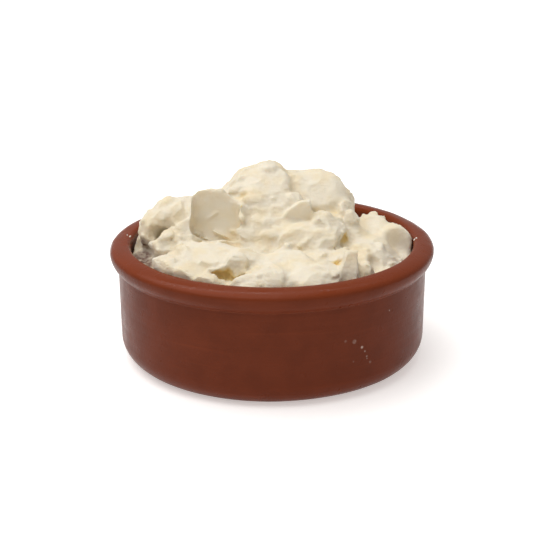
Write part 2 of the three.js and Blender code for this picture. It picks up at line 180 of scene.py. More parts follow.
# Smaller folds and torn bits on the lumps, added once those have been softened.
FOLDS = {
    "summit_knob": dict(at=(-13.5, 4.5, 61.5), half=(4.5, 3, 1.8), turn=(0, -8, 0)),
    "summit_mound": dict(at=(-6.5, -1.5, 59), half=(4.5, 3.5, 2.2), turn=(0, 6, 0)),
    "summit_peak": dict(at=(-1, 11, 67.8), half=(3.2, 4, 1.6), turn=(0, 6, 0)),
    "summit_step": dict(at=(-6.5, 10, 65.4), half=(3, 4, 1.6)),
    "leaf": dict(at=(10.2, -7, 55.4), half=(8, 3, 5.6), turn=(0, -42, 0),
                 flats=[(0.1, -1, -0.1, 1.2), (1, 0, 0.25, 4.8), (0, 0, 1, 5),
                        (-0.6, 0, 0.75, 3.8)]),
    "leaf_back": dict(at=(8, 0, 58), half=(4, 4, 3.6)),
    "slope_fold": dict(at=(-2, -8.5, 52.4), half=(6, 4, 2.4), turn=(20, 15, 0)),
    "slope_fold_low": dict(at=(-8, -13, 49.4), half=(6, 3.5, 2), turn=(20, 20, 0)),
    "slope_fold_right": dict(at=(2, -13.5, 49.8), half=(6, 3.5, 2.2), turn=(20, -5, 0)),
    "slab_block": dict(at=(13, -14, 47.5), half=(13.5, 9, 6.5), turn=(0, -6, 0),
                       flats=[(0, -0.82, 0.57, 4.9), (-0.15, -0.97, 0.2, 6.2),
                              (-0.8, -0.5, 0.35, 10.5), (0.95, -0.3, 0.2, 11),
                              (0, -0.45, -0.9, 3.4), (0.1, -0.2, 0.97, 4.9)]),
    "pillar_front": dict(at=(27.2, 2.5, 51), half=(2.8, 3.4, 5.4), turn=(0, -14, 0)),
    "pillar_side": dict(at=(29.5, -0.5, 50.5), half=(3, 3.6, 4.4)),
    "drip": dict(at=(-12, -37, 44.9), half=(4.4, 5, 5.6),
                 flats=[(0, -1, 0.25, 2.4), (-0.75, -0.45, -0.4, 2.8), (0.75, -0.3, -0.6, 2.4)]),
    "scoop_edge": dict(at=(-10.4, -1.5, 53.5), half=(2, 3.2, 6)),
    "front_crest_left": dict(at=(-20.4, -45, 41.9), half=(7.5, 3.2, 3.1), turn=(0, 24, 0)),
    "front_crest_middle": dict(at=(-9.4, -45, 42.3), half=(6.6, 3.2, 3.3), turn=(0, -16, 0)),
    "front_crest_right": dict(at=(14, -40.5, 44), half=(7, 4.5, 3), flats=[(0, -0.6, 0.8, 2.5)]),
    "front_knob_a": dict(at=(9, -38, 45.4), half=(4, 3.5, 1.8), flats=[(-0.3, -0.5, 0.8, 1.4)]),
    "front_knob_b": dict(at=(19, -38.5, 44.6), half=(3.5, 3.5, 1.8), flats=[(0.3, -0.5, 0.8, 1.4)]),
    "front_knob_c": dict(at=(8, -45.5, 42.8), half=(3, 2.6, 1.6), flats=[(-0.4, -0.5, 0.7, 1.2)]),
    "front_knob_d": dict(at=(14, -45, 42.4), half=(3.6, 2.6, 1.8), flats=[(0.2, -0.6, 0.7, 1.4)]),
    "fin": dict(at=(26.5, -36, 44), half=(9, 9, 13),
                flats=[(0, -0.91, 0.41, 4.9), (-0.937, 0, 0.35, 3.1), (-0.7, 0, 0.7, 4.8),
                       (0.1, 0, 1, 7.0), (1, -0.1, 0.05, 3.5), (0, 0.8, 0.6, 3.8)]),
    "wedge_post": dict(at=(-36.3, -13, 50), half=(2, 2.4, 3), flats=[(0, -0.8, 0.5, 1.6)]),
    "left_crest": dict(at=(-36.5, -31, 45), half=(6.5, 4, 3.2), turn=(0, 2, 15),
                       flats=[(0, -0.8, 0.6, 2.4)]),
    "neck_knob": dict(at=(-31, 0, 57.6), half=(3.8, 3.5, 2.5)),
    "horn_bit_a": dict(at=(-44, -2, 53.6), half=(2.4, 3, 2.4)),
    "horn_bit_b": dict(at=(-40, 0, 56.9), half=(2.6, 3, 1.6)),
    "horn_bit_c": dict(at=(-37.5, 0.5, 58.4), half=(2.8, 3, 1.6)),
    "horn_bit_d": dict(at=(-43, -5, 52), half=(3, 3, 2.4)),
    "horn_bit_e": dict(at=(-39.5, -5.5, 54), half=(3, 3, 2.6)),
    "ledge_lip": dict(at=(-37.5, -18, 50.8), half=(3.6, 3, 1.6), turn=(0, -18, 0)),
}
# Clean cuts through the softened lumps.
CUTS = {
    "front_cave": dict(at=(-14, -39.6, 42.8), half=(8, 4.2, 2.2), turn=(-10, 8, 0)),
    "slab_shadow": dict(at=(9, -22, 46.6), half=(8.5, 4, 1.1), turn=(0, -8, 0)),
    "slit": dict(at=(25.8, -9.8, 47), half=(0.8, 2.2, 3.6), turn=(0, -28, 0)),
}
# Thin ridges that the spoon left on the smooth face.
LIPS = {
    "scoop_lip": dict(at=(-17.8, -6.5, 47), half=(5, 1.2, 0.45), turn=(0, 25, 0)),
    "scoop_lip_low": dict(at=(-21, -7.9, 45.2), half=(6, 1.4, 0.45), turn=(0, 18, 0)),
    "scoop_line": dict(at=(-22.5, -3.6, 53), half=(3.5, 0.4, 0.25), turn=(0, -35, 0)),
}
# The hollows between the lumps.
GAPS = {
    "spoon_mark": dict(at=(-20, -17.2, 58), half=(28, 14.2, 20), turn=(-3, 0, -7),
                       flats=[(0, -0.7, -0.7, 4.8), (1, 0, 0, 8.7), (-1, 0, 0, 9)]),
    "front_gap": dict(at=(-14, -39.8, 42.6), half=(8.4, 3.4, 2.6), turn=(0, 6, 0)),
    "front_notch": dict(at=(4.8, -46.5, 43), half=(0.9, 3.4, 3)),
    "roll_hollow": dict(at=(-15, -42.4, 46.6), half=(8.6, 7.4, 5.6), flats=[(0, 1, 0.1, 5.4)]),
    "scoop_pit": dict(at=(-29.8, -6, 53.8), half=(1.2, 2.4, 3.4), turn=(0, -10, 0)),
    "horn_cave": dict(at=(-40.5, -10.6, 48.4), half=(4.2, 2.8, 1.8), turn=(0, -30, 0)),
    "left_step": dict(at=(-38, -26, 49.8), half=(7.5, 2.4, 3)),
    "shoulder_hollow": dict(at=(19.5, -2, 53.6), half=(7.5, 3.4, 2.8), turn=(0, -8, 0)),
    "slab_pit": dict(at=(1.5, -21.5, 46.8), half=(3, 4, 1.4)),
    "edge_gap": dict(at=(36.5, -26, 42.5), half=(2.2, 5, 4)),
    "summit_hollow": dict(at=(-10.8, -1.5, 60.2), half=(2.6, 3, 1.6)),
    "summit_seam": dict(at=(9, 6, 63.5), half=(0.8, 3, 5)),
    "basin_hollow": dict(at=(17.5, -29.5, 48.6), half=(7.5, 5.5, 3.4), turn=(0, 10, 0)),
    "left_crevice": dict(at=(-47.5, -15, 43.6), half=(4.4, 11.5, 5), turn=(0, 0, 17)),
    "left_edge_gap": dict(at=(-50, -15, 41.2), half=(3, 14, 3.9), turn=(0, 0, 17)),
    "slab_valley": dict(at=(0, -15.5, 50.5), half=(3, 5.5, 2.8), turn=(0, 20, -20)),
}
# Smooth faces, in millimetres: centre, reach and how smooth, where crags stay away.
SMOOTH = {
    "scoop_face": ((-20.5, -4.5, 53.5), 9.5, 0.92),
    "leaf_face": ((9.8, -8.5, 55.5), 5.5, 0.8),
    "summit_front": ((-2, 5, 64), 11, 0.4),
    "shoulder_front": ((18, 7, 60), 12, 0.5),
    "slab_top": ((10, -13, 51.5), 8, 0.5),
    "roll_top": ((-20, -28, 49), 11, 0.35),
    "plate_top": ((4, -33, 47), 11, 0.4),
    "front_edge": ((10, -44, 44), 11, 0.55),
    "right_side": ((45, -7, 44), 12, 0.55),
    "right_back": ((37, 2, 47), 8, 0.4),
    "right_flank": ((38, -19, 44), 9, 0.45),
}
# Crumbly places, in millimetres: centre, reach and how many curds lie there.
CRUMBLY = {
    "everywhere": ((0, 0, 45), 60, 150),
    "left_crevice": ((-47.5, -13, 40), 9, 150),
    "right_flank": ((40, -20, 43), 11, 25),
    "ledge": ((-33, -23, 48), 5, 30),
}
# Torn flakes lie over the whole heap: centre and reach in millimetres, how many, and
# the seed that they are drawn with.
FLAKES = {"near": ((0, 0, 45), 60), "count": 190, "seed": 11}
BITS_ABOVE, BITS_INSIDE = 38 * MM, 51 * MM  # curds and flakes keep to this height and radius
# Painted shade, browned by the clay, on the cheese against the left wall, in millimetres: centre
# and reach.
LEFT_WALL_SHADE = {
    "left_wall": ((-48.5, -10, 40.5), 6),
    "left_wall_high": ((-49, -8, 43.5), 4),
    "left_wall_front": ((-46.5, -18, 40), 5),
}
# Painted shade: a warm yellow tint put into the shaded hollows, in millimetres: centre, reach and
# strength.
PAINTED_SHADE_SPOTS = {
    "front_gap": ((-12, -37, 43), 4.5, 0.5),
    "roll_hollow": ((-17.5, -37, 44), 4.5, 0.35),
    "shoulder_hollow": ((20, 0.5, 53), 6, 0.8),
    "slit": ((26, -9, 47), 3, 0.8),
    "slab_pit": ((1.9, -23, 46), 2.5, 0.7),
    "basin": ((22, -33, 45.6), 4, 0.9),
    "basin_back": ((13.6, -24, 47.5), 3, 0.8),
    "basin_floor": ((17, -28, 46), 5, 0.4),
    "summit_hollow": ((-11, -2, 60), 4, 0.6),
    "horn_cave": ((-40.5, -9, 49.5), 4, 0.5),
    "scoop_pit": ((-29.5, -4.5, 53), 3, 0.5),
    "front_notch": ((4.8, -44, 42.9), 2, 0.6),
}
# Pale dried smears on the outer wall, in millimetres: centre, size and strength.
SCUFFS = {
    "smear_high": ((31, -47.8, 19.3), 0.75, 0.8),
    "smear_middle": ((32.1, -47.1, 17.5), 0.6, 0.6),
    "smear_low": ((32.8, -46.6, 15.4), 0.6, 0.7),
    "smear_lower": ((32.9, -46.5, 14.6), 0.5, 0.5),
    "smear_end": ((34.1, -45.6, 12.9), 0.8, 0.25),
    "smudge_left": ((28.2, -49.5, 22.1), 1.1, 0.3),
    "smudge_far": ((25.1, -51.2, 22.9), 0.8, 0.15),
    "smudge_low": ((28, -49.6, 14.7), 0.6, 0.25),
    "speck": ((40.8, -39.8, 29.8), 0.5, 0.4),
}
# Loose crumbs on the dish's rim, in millimetres: place, spread and how many. Each has
# half sizes between the two that follow.
CRUMBS = {
    "left_rim": ((-52.7, 3.5), 0.6, 4),
    "right_rim": ((52.6, -1.8), 0.6, 4),
    "front_right_rim": ((44.6, -28), 0.7, 3),
    "back_rim": ((-14, 52), 4, 4),
}
CRUMB_HALF = (0.2, 0.42)


# ---- settings ---------------------------------------------------------------


class BowlSettings(bpy.types.PropertyGroup):
    """Sizes and colours of the clay dish and of the cheese."""

    rim_radius: bpy.props.FloatProperty(
        name="Rim radius", description="Widest radius of the rolled rim",
        default=DISH_HIGH[0] - 0.12 * MM, unit="LENGTH")
    rim_top: bpy.props.FloatProperty(
        name="Rim height", description="Height of the top of the rim",
        default=DISH_HIGH[2] - 0.05 * MM, unit="LENGTH")
    dish_sides: bpy.props.IntProperty(
        name="Dish sides", description="Number of sides round the dish", default=256, min=32)
    voxel: bpy.props.FloatProperty(
        name="Curd fineness", description="Size of the smallest curd detail",
        default=0.55 * MM, unit="LENGTH")
    crag_depth: bpy.props.FloatProperty(
        name="Crag depth", description="Depth of the torn crags in the curd",
        default=0.66 * MM, unit="LENGTH")
    clay_colour: bpy.props.FloatVectorProperty(
        name="Glaze", description="Colour of the glazed clay", subtype="COLOR",
        default=(0.13, 0.0262, 0.0094))
    curd_colour: bpy.props.FloatVectorProperty(
        name="Curd", description="Colour of the open surface of the cheese", subtype="COLOR",
        default=(0.825, 0.745, 0.592))
    # Painted shade: the warm yellow that the curd is painted where it lies in shade.
    painted_shade_colour: bpy.props.FloatVectorProperty(
        name="Curd hollows", description="Warmer colour deep between the lumps",
        subtype="COLOR", default=(0.86, 0.66, 0.3))
    spooned_colour: bpy.props.FloatVectorProperty(
        name="Spooned curd", description="Colour that the smooth spooned faces lean to",
        subtype="COLOR", default=(0.79, 0.735, 0.615))
    smear_colour: bpy.props.FloatVectorProperty(
        name="Smears", description="Colour of the dried smears on the outer wall",
        subtype="COLOR", default=(0.52, 0.4, 0.34))


def settings():
    return bpy.context.scene.cheese_bowl


# ---- shader maths -----------------------------------------------------------


class Value:
    """One output in a material; arithmetic on it adds the Math nodes."""

    def __init__(self, paint, socket):
        self.paint = paint
        self.socket = socket

    def math(self, operation, *others):
        return self.paint.node("ShaderNodeMath", {"operation": operation}, *others)

    def __add__(self, other):
        return self.math("ADD", self, other)

    def __sub__(self, other):
        return self.math("SUBTRACT", self, other)

    def __rsub__(self, other):
        return self.math("SUBTRACT", other, self)

    def __mul__(self, other):
        return self.math("MULTIPLY", self, other)

    __radd__ = __add__
    __rmul__ = __mul__

    def ramp(self, low, high, out_low=0.0, out_high=1.0):
        """Runs smoothly from out_low to out_high as the value goes from low to high."""
        return self.paint.node(
            "ShaderNodeMapRange", {"interpolation_type": "SMOOTHSTEP"},
            self, low, high, out_low, out_high)


class Paint:
    """A material on its Principled shader, with one way to add any other node."""

    def __init__(self, name, **constants):
        self.material = bpy.data.materials.new(name)
        self.material.use_nodes = True
        self.nodes = self.material.node_tree.nodes
        self.links = self.material.node_tree.links
        self.shader = self.nodes["Principled BSDF"]
        for socket, value in constants.items():
            self.feed(self.shader.inputs[socket.replace("_", " ")], value)

    def feed(self, socket, value):
        if isinstance(value, Value):
            self.links.new(value.socket, socket)
        elif value is not None:
            socket.default_value = value

    def node(self, kind, setup=None, *inputs, out=0, **named):
        """Adds a node: its settings first, then the values or links of its sockets."""
        node = self.nodes.new(kind)
        for setting, value in (setup or {}).items():
            setattr(node, setting, value)
        for socket, value in zip(node.inputs, inputs):
            self.feed(socket, value)
        for socket, value in named.items():
            self.feed(node.inputs[socket.replace("_", " ")], value)
        return Value(self, node.outputs[out])

    def mix(self, factor, first, second):
        """Blends two colours."""
        node = self.node("ShaderNodeMix", {"data_type": "RGBA"}, factor, out=2).socket.node
        self.feed(node.inputs[6], first)
        self.feed(node.inputs[7], second)
        return Value(self, node.outputs[2])

    def place(self, scale=(1, 1, 1), move=(0, 0, 0)):
        """The point on the object, in metres, moved and stretched."""
        point = self.node("ShaderNodeTexCoord", out=3)
        return self.node("ShaderNodeMapping", None, point, move, None, scale)

    def cloud(self, size, detail=2.0, stretch=(1, 1, 1), rough=0.5, kind="FBM"):
        """Noise from about 0 to 1, its features about size metres across."""
        scale = tuple(s / size for s in stretch)
        return self.node("ShaderNodeTexNoise", {"noise_type": kind}, self.place(scale), Scale=1.0,
                         Detail=detail, Roughness=rough)

    def bump(self, height, depth, under=None):
        """Turns a height from 0 to 1 into a normal, depth metres deep."""
        return self.node("ShaderNodeBump", None, Strength=1.0, Distance=depth,
                         Height=height, Normal=under)

    def surface(self, **sockets):
        for socket, value in sockets.items():
            self.feed(self.shader.inputs[socket.replace("_", " ")], value)
        return self.material


def with_alpha(colour):
    return (*colour, 1.0)


# ---- materials --------------------------------------------------------------


def smeared(paint, colour):
    """The colour with pale smears of dried curd on it."""
    here = paint.place()
    smear = 0.0
    for spot, size, strength in SCUFFS.values():
        away = paint.node("ShaderNodeVectorMath", {"operation": "DISTANCE"}, here,
                          Vector(spot) * MM, out=1)
        smear = away.ramp(0.35 * size * MM, size * MM, strength, 0) + smear
    worn = paint.cloud(0.6 * MM).ramp(0.35, 0.6, 0.5, 1)
    return paint.mix(smear * worn, colour, with_alpha(settings().smear_colour))


def glazed_clay():
    """Reddish-brown satin glaze with throwing lines, painted light on the rim's top and a few pale
    smears.
    """
    paint = Paint("glazed_clay", IOR=1.3, Specular_IOR_Level=0.17)
    base = settings().clay_colour
    darker = tuple(c * 0.86 for c in base)
    bands_and_painted_light = (base[0] * 1.6, base[1] * 1.55, base[2] * 1.4)
    height = paint.node("ShaderNodeSeparateXYZ", None, paint.place(), out=2)
    on_rim = 40.4 * MM  # where painted light starts on the rim's top, which is also glossier
    mottle = paint.cloud(9 * MM, 4.0)
    bands = paint.cloud(2.2 * MM, 3.0, stretch=(0.05, 0.05, 1))
    colour = paint.mix(mottle.ramp(0.3, 0.7), with_alpha(darker), with_alpha(base))
    # Throwing bands in the glaze, and painted light that grows towards the rim's top.
    colour = paint.mix(bands.ramp(0.55, 0.8) * 0.25 + height.ramp(on_rim, 42.6 * MM) * 0.75,
                       colour, with_alpha(bands_and_painted_light))
    colour = smeared(paint, colour)
    pits = paint.cloud(0.7 * MM, 2.0).ramp(0.66, 0.76)
    glossy = paint.cloud(3 * MM, 3.0, stretch=(0.3, 0.3, 1)).ramp(0.42, 0.56, 1, 0)
    rough = (paint.cloud(5 * MM, 3.0).ramp(0.3, 0.7, 0.27, 0.36)
             - glossy * height.ramp(on_rim, 42 * MM) * 0.2)
    rings = paint.bump(bands, 0.12 * MM)
    grain = paint.bump(paint.cloud(1.1 * MM, 2.0) - pits * 0.5, 0.05 * MM, rings)
    return paint.surface(Base_Color=colour, Roughness=rough, Normal=grain)


def wall_shaded_curd(paint, colour):
    """Paints shade, browned by the clay, onto the curd against the left wall, broken by a pattern
    of paler crumbs.
    """
    wall_shade = paint.node("ShaderNodeAttribute", {"attribute_name": "wall_shade"}, out=2)
    crumbs = paint.cloud(1.5 * MM, 2.0).ramp(0.42, 0.6)
    values = settings()
    # Painted shade: mostly clay brown with a little curd.
    wall_shade_colour = tuple(c * 0.12 + d * 0.65 for c, d in zip(values.curd_colour, values.clay_colour))
    return paint.mix(wall_shade * (1 - crumbs * 0.3), colour, with_alpha(wall_shade_colour))


def fresh_curd():
    """Moist cream-white curd, with painted shade, warmer and deeper in colour, in its hollows."""
    paint = Paint(
        "fresh_curd", IOR=1.4, Subsurface_Weight=0.35,
        Subsurface_Radius=(1.0, 0.85, 0.65), Subsurface_Scale=1.8 * MM)
    open_curd = settings().curd_colour
    hollow = paint.node("ShaderNodeAttribute", {"attribute_name": "hollow"}, out=2)
    torn = paint.node("ShaderNodeAttribute", {"attribute_name": "torn"}, out=2)
    patch = paint.cloud(8 * MM, 2.0)
    warm = tuple(c * w for c, w in zip(open_curd, (1.0, 0.95, 0.84)))
    colour = paint.mix(patch.ramp(0.4, 0.7), with_alpha(open_curd), with_alpha(warm))
    # Painted shade: the curd is mixed towards a warm shade colour, then towards the deepest one, as
    # less sky is seen.
    deep = settings().painted_shade_colour
    shaded = tuple((c * 2 + d) / 3 for c, d in zip(open_curd, deep))
    colour = paint.mix(hollow.ramp(0.4, 0.7), colour, with_alpha(shaded))
    colour = paint.mix(hollow.ramp(0.6, 0.9), colour, with_alpha(deep))
    spooned = with_alpha(settings().spooned_colour)
    colour = paint.mix((1 - torn).ramp(0.2, 1) * 0.5, colour, spooned)
    colour = wall_shaded_curd(paint, colour)
    flakes = paint.cloud(1.8 * MM, 3.0, stretch=(0.6, 1, 1.4), kind="RIDGED_MULTIFRACTAL")
    torn_flakes = paint.bump(flakes * torn, 0.3 * MM)
    grain = paint.cloud(0.9 * MM, 4.0, rough=0.75)
    rough = paint.cloud(2.5 * MM).ramp(0.3, 0.7, 0.42, 0.6)
    return paint.surface(
        Base_Color=colour, Roughness=rough, Normal=paint.bump(grain * torn, 0.45 * MM, torn_flakes))


def pale_table():
    """A plain white table top, lit a little from within so that shadows stay pale."""
    return Paint("pale_table", Base_Color=(0.92, 0.91, 0.9, 1), Roughness=0.6,
                 Emission_Color=(1, 0.97, 0.95, 1), Emission_Strength=0.45).material


# ---- modelling by hand ------------------------------------------------------


def deselect():
    for thing in bpy.context.selected_objects:
        thing.select_set(False)


def take(thing):
    """Makes one object the selected and active one."""
    deselect()
    thing.select_set(True)
    bpy.context.view_layer.objects.active = thing
    return thing


def settle(thing):
    """Puts an object's place, turn and size into its mesh."""
    take(thing)
    bpy.ops.object.transform_apply(location=True, rotation=True, scale=True)


def join(things, name):
    """Makes several objects one, under a new name."""
    deselect()
    for thing in things:
        thing.select_set(True)
    bpy.context.view_layer.objects.active = things[0]
    bpy.ops.object.join()
    things[0].name = name
    return things[0]


def modify(thing, kind, **values):
    """Adds one modifier and applies it."""
    take(thing)
    modifier = thing.modifiers.new(kind.lower(), kind)
    for setting, value in values.items():
        setattr(modifier, setting, value)
    bpy.ops.object.modifier_apply(modifier=modifier.name)


def noise_texture(name, kind, size, **values):
    """A noise for the Displace modifier, its features about size metres across."""
    texture = bpy.data.textures.new(name, kind)
    texture.noise_scale = size
    for setting, value in values.items():
        setattr(texture, setting, value)
    return texture


def dress(thing, material, node):
    """Gives a finished piece its material and its place in the frame."""
    thing.data.materials.clear()
    thing.data.materials.append(material)
    thing.data.name = thing.name
    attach(thing, BODY)
    if node:
        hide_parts(node)


def extrude_along(outline):
    """Extrudes the selection through points of radius and height."""
    for (radius, height), (next_radius, next_height) in zip(outline, outline[1:]):
        bpy.ops.mesh.extrude_region_move(
            TRANSFORM_OT_translate={"value": (0, 0, next_height - height)})
        growth = next_radius / radius
        bpy.ops.transform.resize(
            value=(growth, growth, 1), center_override=(0, 0, next_height))


# ---- the dish ---------------------------------------------------------------


def arc(centre, radii, start, end, steps):
    """Points of radius and height along part of an ellipse, angles in degrees."""
    points = []
    for step in range(steps + 1):
        angle = math.radians(start + (end - start) * step / steps)
        points.append((centre[0] + radii[0] * math.cos(angle),
                       centre[1] + radii[1] * math.sin(angle)))
    return points


def dish_profile(rim_radius, rim_top):
    """The dish's outline from the edge of the foot, over the rim, to the floor."""
    size = {name: value * MM for name, value in DISH.items()}
    bead_radius, widest = rim_radius - size["bead"], rim_top - size["bead_drop"]
    wall_top, wall_radius = size["wall_top"], size["wall_radius"]
    foot_radius, corner = size["foot_radius"], size["foot_corner"]
    inner_radius, inner_corner, floor = size["inner_radius"], size["inner_corner"], size["floor"]
    bead_width, lip = rim_radius - bead_radius, size["lip"]
    meet = -math.degrees(math.acos((wall_radius - bead_radius) / bead_width))
    wall = [(foot_radius + (wall_radius - foot_radius) * step / 8,
             corner + (wall_top - corner) * step / 8) for step in range(1, 9)]
    return (
        arc((foot_radius - corner, corner), (corner, corner), -90, 0, 10)
        + wall
        + [(wall_radius + size["fillet_out"], wall_top + size["fillet_up"])]
        + arc((bead_radius, widest), (bead_width, size["bead"]), meet, 0, 12)[1:]
        + arc((bead_radius, widest), (bead_width, rim_top - widest), 0, 90, 12)[1:]
        + arc((bead_radius, rim_top - lip), (bead_radius - inner_radius, lip), 90, 180, 6)[1:]
        + [(inner_radius, floor + inner_corner + size["inner_step"])]
        + arc((inner_radius - inner_corner, floor + inner_corner),
              (inner_corner, inner_corner), 0, -90, 8)
    )


class BOWL_OT_dish(bpy.types.Operator):
    """Models the round clay dish with its rolled rim"""

    bl_idname = "bowl.dish"
    bl_label = "Clay Dish"

    def execute(self, context):
        values = settings()
        outline = dish_profile(values.rim_radius, values.rim_top)
        deselect()
        bpy.ops.mesh.primitive_circle_add(
            vertices=values.dish_sides, radius=outline[0][0], fill_type="NGON")
        dish = context.object
        bpy.ops.object.mode_set(mode="EDIT")
        bpy.ops.mesh.select_all(action="SELECT")
        extrude_along(outline)
        bpy.ops.mesh.select_all(action="SELECT")
        bpy.ops.mesh.normals_make_consistent(inside=False)
        bpy.ops.object.mode_set(mode="OBJECT")
        dish.name = "clay_dish"
        uneven = noise_texture("hand_thrown", "CLOUDS", UNEVEN_SIZE)
        modify(dish, "DISPLACE", texture=uneven, strength=UNEVEN_DEPTH, mid_level=0.5)
        for vertex in dish.data.vertices:
            vertex.co.z = max(vertex.co.z, DISH_LOW[2])
        take(dish)
        bpy.ops.object.shade_smooth_by_angle(angle=math.radians(40))
        dress(dish, glazed_clay(), "dish")
        return {"FINISHED"}


# ---- the cheese -------------------------------------------------------------


def ball(at, half, turn=(0, 0, 0), fineness=4):
    """A ball of curd, stretched and turned, in millimetres and degrees."""
    deselect()
    bpy.ops.mesh.primitive_ico_sphere_add(
        subdivisions=fineness, radius=1, location=Vector(at) * MM,
        rotation=[math.radians(angle) for angle in turn], scale=Vector(half) * MM)
    curd = bpy.context.object
    settle(curd)
    return curd


def cut(thing, knife, operation="DIFFERENCE"):
    """Cuts one closed shape with another and drops the knife."""
    modify(thing, "BOOLEAN", object=knife, operation=operation, solver="MANIFOLD")
    bpy.data.objects.remove(knife)


def chips(half, turn, count, draw):
    """Flat faces where bits have broken off a lump, turned any way but down."""
    lying = Euler([math.radians(angle) for angle in turn])
    found = []
    for _ in range(count):
        out = Vector((draw.uniform(-1, 1), draw.uniform(-1, 0.6), draw.uniform(-0.2, 1)))
        out.normalize()
        local = lying.to_matrix().transposed() @ out
        reach = Vector(a * b for a, b in zip(local, half)).length
        found.append((*out, reach * draw.uniform(0.72, 0.93)))
    return found


def lump(at, half, turn=(0, 0, 0), flats=(), fineness=4):
    """One lump of curd, cut flat where the spoon went."""
    curd = ball(at, half, turn, fineness)
    for *direction, distance in flats:
        normal = Vector(direction).normalized()
        bpy.ops.object.mode_set(mode="EDIT")
        bpy.ops.mesh.select_all(action="SELECT")
        bpy.ops.mesh.bisect(
            plane_co=(Vector(at) + normal * distance) * MM, plane_no=normal,
            use_fill=True, clear_outer=True)
        bpy.ops.object.mode_set(mode="OBJECT")
    return curd


def lumps(table, name, fineness=4, chipped=0):
    """All the lumps of a table as one object, a few chips broken off most of them."""
    made = []
    for key, shape in table.items():
        flats = list(shape.get("flats", ()))
        if key not in UNCHIPPED:
            flats += chips(shape["half"], shape.get("turn", (0, 0, 0)), chipped, random.Random(key))
        made.append(lump(**{**shape, "flats": flats}, fineness=fineness))
    return join(made, name)


def dish_mouth():
    """The space that the open cheese may fill: straight up from inside the dish."""
    low, high = HEAP_CUT - 3 * MM, HEAP_HIGH[2] + 20 * MM
    deselect()
    bpy.ops.mesh.primitive_cylinder_add(
        vertices=256, radius=HEAP_HIGH[0], depth=high - low, location=(0, 0, (low + high) / 2))
    return bpy.context.object


def nearness(point, centre, reach):
    """1 near the centre of a place, falling to 0 a little beyond its reach."""
    return min(1.0, max(0.0, 2.2 - 2 * (point - Vector(centre)).length / reach))


def smoothness(point):
    """How much a point, in millimetres, belongs to a smooth spooned face, 0 to 1."""
    most = 0.0
    for centre, reach, amount in SMOOTH.values():
        most = max(most, amount * nearness(point, centre, reach))
    return most


def scatter(heap, fineness, count, seed, near, place_one):
    """Copies of one small ball on the heap, at places drawn from its surface."""
    draw = random.Random(seed)
    centre, reach = near
    places = [v for v in heap.data.vertices
              if v.co.z > BITS_ABOVE and v.co.xy.length < BITS_INSIDE
              and (v.co / MM - Vector(centre)).length < reach
              and smoothness(v.co / MM) < draw.random()]
    pattern = ball((0, 0, 0), (1, 1, 1), fineness=fineness)
    bits = []
    for place in draw.sample(places, min(count, len(places))):
        bit = bpy.data.objects.new(pattern.name, pattern.data)
        bpy.context.collection.objects.link(bit)
        place_one(bit, place, draw)
        bits.append(bit)
    bpy.data.objects.remove(pattern)
    return bits


def lay_curd(curd, place, draw):
    """A rounded curd, half sunk."""
    size = draw.uniform(0.8, 1.7)
    curd.location = place.co - place.normal * size * draw.uniform(0.3, 0.7) * MM
    curd.rotation_euler = [draw.uniform(0, math.tau) for _ in range(3)]
    curd.scale = [size * draw.uniform(0.7, 1.5) for _ in range(3)]


def lay_flake(flake, place, draw):
    """A torn flake, nearly lying on the surface and drawn out sideways."""
    thickness = draw.uniform(0.4, 0.8)
    flake.location = place.co - place.normal * thickness * draw.uniform(0, 0.6) * MM
    lying = place.normal.to_track_quat("Z", "X")
    lean = Euler((draw.uniform(-0.5, 0.5), draw.uniform(-0.5, 0.5), draw.uniform(0, math.tau)))
    flake.rotation_euler = (lying @ lean.to_quaternion()).to_euler()
    flake.scale = (draw.uniform(1.4, 3.6), draw.uniform(0.8, 1.8), thickness)


def relief(heap, name, kind, size, depth, stretch=(1, 1, 1), turn=(0, 0, 0), level=0.5, **values):
    """Roughens the heap with noise, stretched and turned where the spoon dragged it."""
    frame_of_noise = bpy.data.objects.new(name, None)
    bpy.context.collection.objects.link(frame_of_noise)
    frame_of_noise.scale = stretch
    frame_of_noise.rotation_euler = [math.radians(angle) for angle in turn]
    bpy.context.view_layer.update()
    modify(heap, "DISPLACE", texture=noise_texture(name, kind, size, **values), strength=depth,
           mid_level=level, vertex_group="rough", texture_coords="OBJECT",
           texture_coords_object=frame_of_noise)
    bpy.data.objects.remove(frame_of_noise)


def blocked_sky(heap, reach=9 * MM, rays=18):
    """How much of the sky each point of the heap can't see, from 0 to 1."""
    mesh = heap.data
    tree = BVHTree.FromPolygons(
        [v.co for v in mesh.vertices], [p.vertices for p in mesh.polygons])
    golden = math.pi * (3 - math.sqrt(5))
    cone = []
    for index in range(rays):
        rise = 1 - (index + 0.5) / rays
        flat = math.sqrt(1 - rise * rise)
        cone.append(Vector((math.cos(golden * index) * flat,
                            math.sin(golden * index) * flat, rise)))
    up = Vector((0, 0, 1))
    shares = []
    for vertex in mesh.vertices:
        blocked = 0.0
        if vertex.co.z >= HEAP_CUT:
            turn = up.rotation_difference(vertex.normal)
            start = vertex.co + vertex.normal * 0.3 * MM
            for direction in cone:
                hit = tree.ray_cast(start, turn @ direction, reach)
                if hit[0] is not None:
                    blocked += 1 - 0.6 * hit[3] / reach
        shares.append(blocked / rays)
    return shares


def keep(mesh, name, values):
    """Stores one number for each point, where the material can read it."""
    mesh.attributes.new(name, "FLOAT", "POINT").data.foreach_set("value", values)


